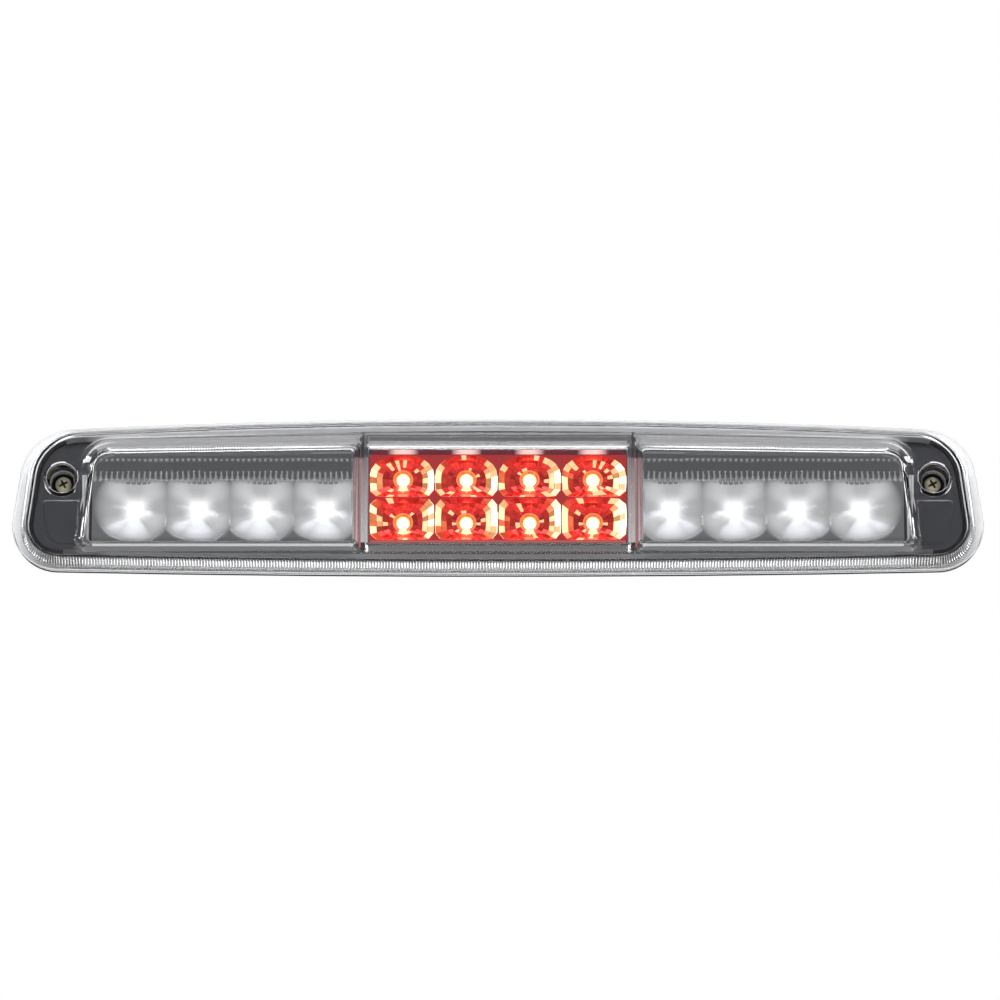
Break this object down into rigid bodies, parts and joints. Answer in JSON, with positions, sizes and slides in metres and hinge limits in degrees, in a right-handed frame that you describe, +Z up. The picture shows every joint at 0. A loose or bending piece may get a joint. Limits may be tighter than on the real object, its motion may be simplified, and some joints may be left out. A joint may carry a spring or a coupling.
{
  "type": "third brake light",
  "caption": "Wide screw-mounted vehicle lamp with a fluted clear lens, a central red brake window and white cargo-lamp windows on both sides.",
  "frame": {"origin": "midway between the two mounting screws, in the plane of the panel that the gasket seats on", "axes": "+X along the lamp's length, +Y into the panel along the mounting screws, +Z up; the lens faces -Y"},
  "size_m": [0.4794, 0.0443, 0.0807],
  "materials": {
    "lens_clear": "polished clear polycarbonate",
    "housing_black": "fine-grained moulded black",
    "bezel_grey": "glossy dark grey",
    "seal_silicone": "translucent pale silicone",
    "gasket_rubber": "moulded black rubber",
    "pad_foam": "white closed-cell foam",
    "brake_chrome": "vacuum-metallised, mirror",
    "cargo_chrome": "vacuum-metallised, satin",
    "board_mask": "green solder mask over glass-fibre board",
    "led_red": "moulded red epoxy, lit",
    "led_white": "moulded clear epoxy, lit",
    "chip_black": "moulded epoxy",
    "header_white": "moulded nylon",
    "screw_zinc": "yellow zinc plate",
    "screw_steel": "bright zinc plate",
    "sleeve_steel": "turned, zinc plate",
    "rubber_black": "moulded, matt"
  },
  "bodies": {
    "root": {"outer_lens": "lens_clear", "rear_housing": "housing_black", "lens_seal": "seal_silicone", "panel_gasket": "gasket_rubber", "foam_pad": "pad_foam", "bezel": "bezel_grey", "brake_reflector": "brake_chrome", "cargo_reflector_left": "cargo_chrome", "cargo_reflector_right": "cargo_chrome", "brake_board": "board_mask", "cargo_board_left": "board_mask", "cargo_board_right": "board_mask", "brake_leds": "led_red", "cargo_leds_left": "led_white", "cargo_leds_right": "led_white", "brake_resistors": "chip_black", "cargo_resistors_left": "chip_black", "cargo_resistors_right": "chip_black", "brake_diode": "chip_black", "cargo_diode_left": "chip_black", "cargo_diode_right": "chip_black", "brake_header": "header_white", "cargo_header_left": "header_white", "cargo_header_right": "header_white", "brake_board_screws": "screw_steel", "cargo_board_screws_left": "screw_steel", "cargo_board_screws_right": "screw_steel", "mounting_screw_left": "screw_zinc", "mounting_screw_right": "screw_zinc", "mounting_sleeve_left": "sleeve_steel", "mounting_sleeve_right": "sleeve_steel", "screw_seal_left": "rubber_black", "screw_seal_right": "rubber_black", "brake_grommet": "rubber_black", "cargo_grommet": "rubber_black", "vent_cap_left": "rubber_black", "vent_cap_right": "rubber_black"}
  },
  "joints": []
}
